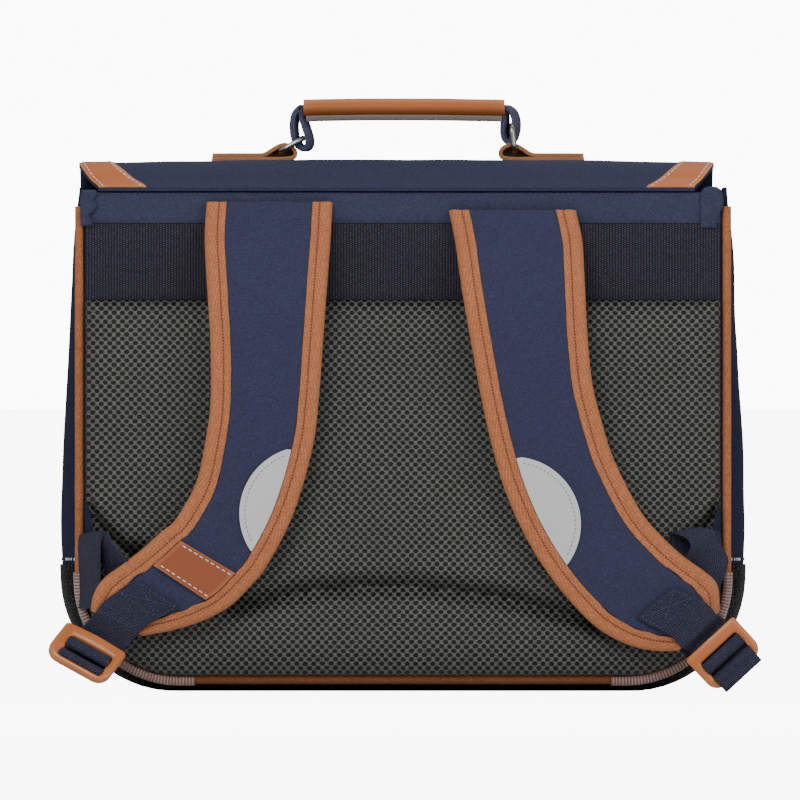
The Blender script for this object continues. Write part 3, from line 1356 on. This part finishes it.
patch = strap_patch("strap_leather_patch", patch_line, across_cloth, 1.4, 14, 45)
patch_leather = leather_material("patch_leather", srgb(138, 75, 47), srgb(152, 86, 56), srgb(176, 110, 74),
                                 roughness=0.5)
finish_piece(patch, patch_leather, "leather", "strap_patch")
for k, fall in enumerate((patch_from + 0.006, patch_to - 0.006)):
    s = station_at(straps["left"], fall)
    inner = s.half - binding_width - gap
    route = [s.point(out, core_top(s, out) + patch_gap + 1.4)
             for out in [lerp(-inner + 0.5, inner - 0.5, j / 20) for j in range(21)]]
    sew("patch_stitches_" + str(k), route, s.face.copy(), white_thread, "leather", length=2.6, space=1.3,
        radius=0.36, sink=0.3)


# Buckles: tan moulded plastic frames with a broad arched rail on the strap's side and a middle bar.
# The strap's tab passes under that rail and round the bar; the adjuster webbing comes up through the
# second slot.
buckle_width = 39.0
buckle_run = 27.5
near_rail = 8.2
far_rail = 4.9
slot_half = 14.1
bar_start, bar_end = 11.4, 14.4
bar_rise = 1.9
to_buckle_face = 2.5


def buckle_frame(out, lift, up, rail, run):
    along = Vector(rail).normalized()
    away = Vector(run)
    away = (away - along * away.dot(along)).normalized()
    face = along.cross(away)
    if face.dot(to_viewer) < 0:
        face.negate()
    return Vector((out * seam_half_width, back_plane - lift * strap_bow, up * seam_top)), along, away, face


buckles = {
    "left": buckle_frame(-0.938, 1.1481, 0.1035, (0.86, -0.213, -0.47), (-0.495, -0.58, -0.644)),
    "right": buckle_frame(0.9439, 1.1481, 0.1069, (0.735, 0, 0.678), (0.678, 0, -0.735)),
}


def in_buckle(frame_of, side, run, face):
    origin, along, away, outward = frame_of
    return origin + along * side + away * run + outward * face


def rounded_box(half, start, end, near_radius, far_radius, steps=7, side_steps=6):
    """Points round a rectangle of the buckle's plane, with the same count for any size."""
    spots = []
    corners = [(half, end, far_radius, 0), (-half, end, far_radius, 1), (-half, start, near_radius, 2),
               (half, start, near_radius, 3)]
    for side, run, radius, quarter in corners:
        centre = (side - math.copysign(radius, side), run - (radius if quarter < 2 else -radius))
        arc = []
        for i in range(steps):
            angle = (quarter + i / (steps - 1)) * math.pi / 2
            arc.append((centre[0] + math.cos(angle) * radius, centre[1] + math.sin(angle) * radius))
        if spots:
            last = spots[-1]
            spots += [(lerp(last[0], arc[0][0], i / side_steps), lerp(last[1], arc[0][1], i / side_steps))
                      for i in range(1, side_steps)]
        spots += arc
    last = spots[-1]
    spots += [(lerp(last[0], spots[0][0], i / side_steps), lerp(last[1], spots[0][1], i / side_steps))
              for i in range(1, side_steps)]
    return spots


moulded = leather_material("tan_moulded", srgb(178, 97, 40), srgb(182, 102, 50), srgb(220, 148, 92),
                           roughness=0.28, grain=0.02, coat=0.8)
left_splay = 3.0
outer_spots = rounded_box(buckle_width / 2, 0, buckle_run, 2.2, 8.0)
inner_spots = rounded_box(slot_half, near_rail - 0.3, buckle_run - far_rail, 1.6, 3.0)
section = [(0.0, -0.4), (0.06, -0.9), (0.5, -1.0), (0.94, -0.9), (1.0, -0.5), (1.0, 0.4), (0.93, 0.8),
           (0.8, 0.95), (0.5, 1.05), (0.2, 1.0), (0.05, 0.75), (0.0, 0.2)]
for side_name, place in buckles.items():
    rings = []
    for (outer_side, outer_run), (inner_side, inner_run) in zip(outer_spots, inner_spots):
        ring = []
        for share, height in section:
            side, run = lerp(outer_side, inner_side, share), lerp(outer_run, inner_run, share)
            if side_name == "left":
                side -= left_splay * clamp(-side / slot_half, 0, 1) ** 4 * (1 - share)
            bow = (1 - (side / (buckle_width / 2)) ** 2) * clamp(1 - run / 13, 0, 1)
            droop = clamp((run - 19) / 8, 0, 1)
            ring.append(in_buckle(place, side, run, height * to_buckle_face + 1.5 * bow - 1.2 * droop))
        rings.append(ring)
    buckle = loft("moulded_buckle_" + side_name, rings, closed=True, sharp=50)
    finish_piece(buckle, moulded, "moulded", "buckle_" + side_name)
    rings = []
    for side in (-slot_half - 1, slot_half + 1):
        angles = [k / 10 * 2 * math.pi for k in range(10)]
        rings.append([in_buckle(place, side, lerp(bar_start, bar_end, 0.5 + 0.5 * math.cos(angle)),
                                bar_rise * math.sin(angle)) for angle in angles])
    bar = loft("moulded_bar_" + side_name, rings)
    finish_piece(bar, moulded, "moulded")

tab_width = 29.0
tab_wall = 1.6


def band_body(name, stations, thickness, steps=6):
    """Webbing through stations of a middle, a half width and how far its edges bend away, smoothed."""
    rows = [(float(i), *at, *half, *bend) for i, (at, half, bend) in enumerate(stations)]
    fine = []
    for i in range((len(rows) - 1) * steps + 1):
        values = curve_through(rows, i / steps)
        fine.append((Vector(values[:3]), Vector(values[3:6]), Vector(values[6:])))
    rings = []
    for i, (at, half, bend) in enumerate(fine):
        ahead = fine[min(i + 1, len(fine) - 1)][0] - fine[max(i - 1, 0)][0]
        lift = half.cross(ahead).normalized() * thickness / 2
        over, under = [], []
        for out in (-1, -0.96, -0.7, -0.35, 0, 0.35, 0.7, 0.96, 1):
            spot = at + half * out + bend * out * out
            rise = lift * (0.4 if abs(out) == 1 else 1)
            over.append(spot + rise)
            under.append(spot - rise)
        rings.append(over + under[::-1])
    return loft(name, rings, sharp=50)


tab_rows = [(-3, -5), (2.6, -4.6), (8.0, -4.3), (9.6, -2.6), (9.8, 0), (9.8, 2.2), (10.8, 3.6), (11.9, 3.8),
            (14.0, 3.8), (15.4, 3.0), (15.9, 1.6)]
tail_rows = [(12.4, -7.6), (16.4, -5.0), (18.7, -1.6), (19.8, 1.6), (21.3, 3.55), (23.4, 3.5), (25.2, 3.0),
             (28, 3.3), (30.8, 2.2)]
tail_reach = {"left": 26, "right": 33}
tab_lift = gap + tab_wall / 2 + binding_wall / 2
flat = Vector((0, 0, 0))
for side_name, place in buckles.items():
    side = strap_tables[side_name][0]
    toward = 1 if place[1].x * side > 0 else -1
    stations = []
    for fall in (0.93, 0.945, 0.96, 0.975, 0.99, 1.0):
        s = station_at(straps[side_name], fall)
        stations.append((s.point(0, s.tall + tab_lift + 0.5), s.out.normalized() * tab_width / 2, flat))
    seams = [stations[0][:2], stations[2][:2]]
    for run, face in tab_rows:
        stations.append((in_buckle(place, 0, run, face), place[1] * toward * tab_width / 2, flat))
    tab = band_body("strap_webbing_" + side_name, stations, tab_wall)
    finish_piece(tab, navy_webbing, "webbing", "strap_tab_" + side_name)
    (top, across_top), (foot, across_foot) = seams
    up = straps[side_name][-4].face * (tab_wall / 2)
    inner = (foot - top) * 0.12
    square = [top + inner - across_top * 0.88 + up, top + inner + across_top * 0.88 + up,
              foot - inner + across_foot * 0.88 + up, foot - inner - across_foot * 0.88 + up]
    for k, (a, b) in enumerate(((0, 1), (1, 2), (2, 3), (3, 0), (0, 2), (1, 3))):
        sew("tab_stitches_" + side_name + str(k), [square[a], square[b]], up, blue_thread, "webbing",
            length=1.5, space=0.9, radius=0.32, sink=0.0)


# Adjusters: thin navy webbing from a cloth triangle in each side seam, folded over behind the strap and led
# out through the buckle.
adjuster_width = 29.0
adjuster_wall = 1.5
adjuster_rows = {
    "left": [(6, 50, 12, 0, 60, 0), (6, 70, 13, 0, 62, 0), (6.2, 87, 15, 0, 63, 0),
             (7.5, 94.5, 18, -3, 60, 1), (9.8, 95.5, 20.8, -10, 58, 1), (13, 88, 21.5, -20, 60, 0),
             (19.5, 77, 20.4, -27, 52, 0), (25, 64, 19.4, -26, 22, 0), (23, 52, 19.2, -24, 0, 0),
             (11, 39, 19.5, -26, 0, 0), (-4, 28, 22, -30, 0, 0)],
    "right": [(17, 60, 16.9, 0, 30, 0), (17, 74, 17.2, 0, 14, 0), (19.5, 86, 18, 0, 2, 0),
              (20, 93.5, 19.2, 0, 4, 0), (18, 97.5, 21.5, 0, 18, 2), (14, 97.5, 24.5, 0, 44, 5),
              (12.4, 90, 25.2, 0, 50, 3), (12.6, 79, 21.5, 0, 22, 0), (17, 66, 19.7, 4, 0, 0),
              (21, 53, 19.6, 18, 0, 0), (21, 43, 19.8, 32, 0, 0), (17, 34, 20, 40, 0, 0)],
}
for side_name, place in buckles.items():
    side = strap_tables[side_name][0]
    toward = 1 if place[1].x * side > 0 else -1
    stations = []
    for inward, height, lift, turn, back, bend in adjuster_rows[side_name]:
        turn, back = math.radians(turn), math.radians(back)
        across = math.cos(back)
        outer = Vector((side * math.cos(turn) * across, math.sin(back), math.sin(turn) * across))
        stations.append((Vector((side * (seam_half_width - inward), back_plane - lift, height)),
                         outer.normalized() * adjuster_width / 2, Vector((0, 0, -bend))))
    for run, face in tail_rows:
        if run > tail_reach[side_name]:
            continue
        stations.append((in_buckle(place, 0, run, face), place[1] * toward * adjuster_width / 2, flat))
    adjuster = band_body("adjuster_webbing_" + side_name, stations, adjuster_wall, 4)
    finish_piece(adjuster, navy_webbing, "webbing", "adjuster_" + side_name)
    adjuster_length = sum((b[0] - a[0]).length for a, b in zip(stations, stations[1:]))
    "buckle_" + side_name
for side_name in ("left", "right"):
    triangle = softened("adjuster_anchor_" + side_name, "adjuster_triangle_" + side_name, width=0.25,
                        segments=2)
    finish_piece(triangle, navy_twill, "twill", "adjuster_anchor_" + side_name)
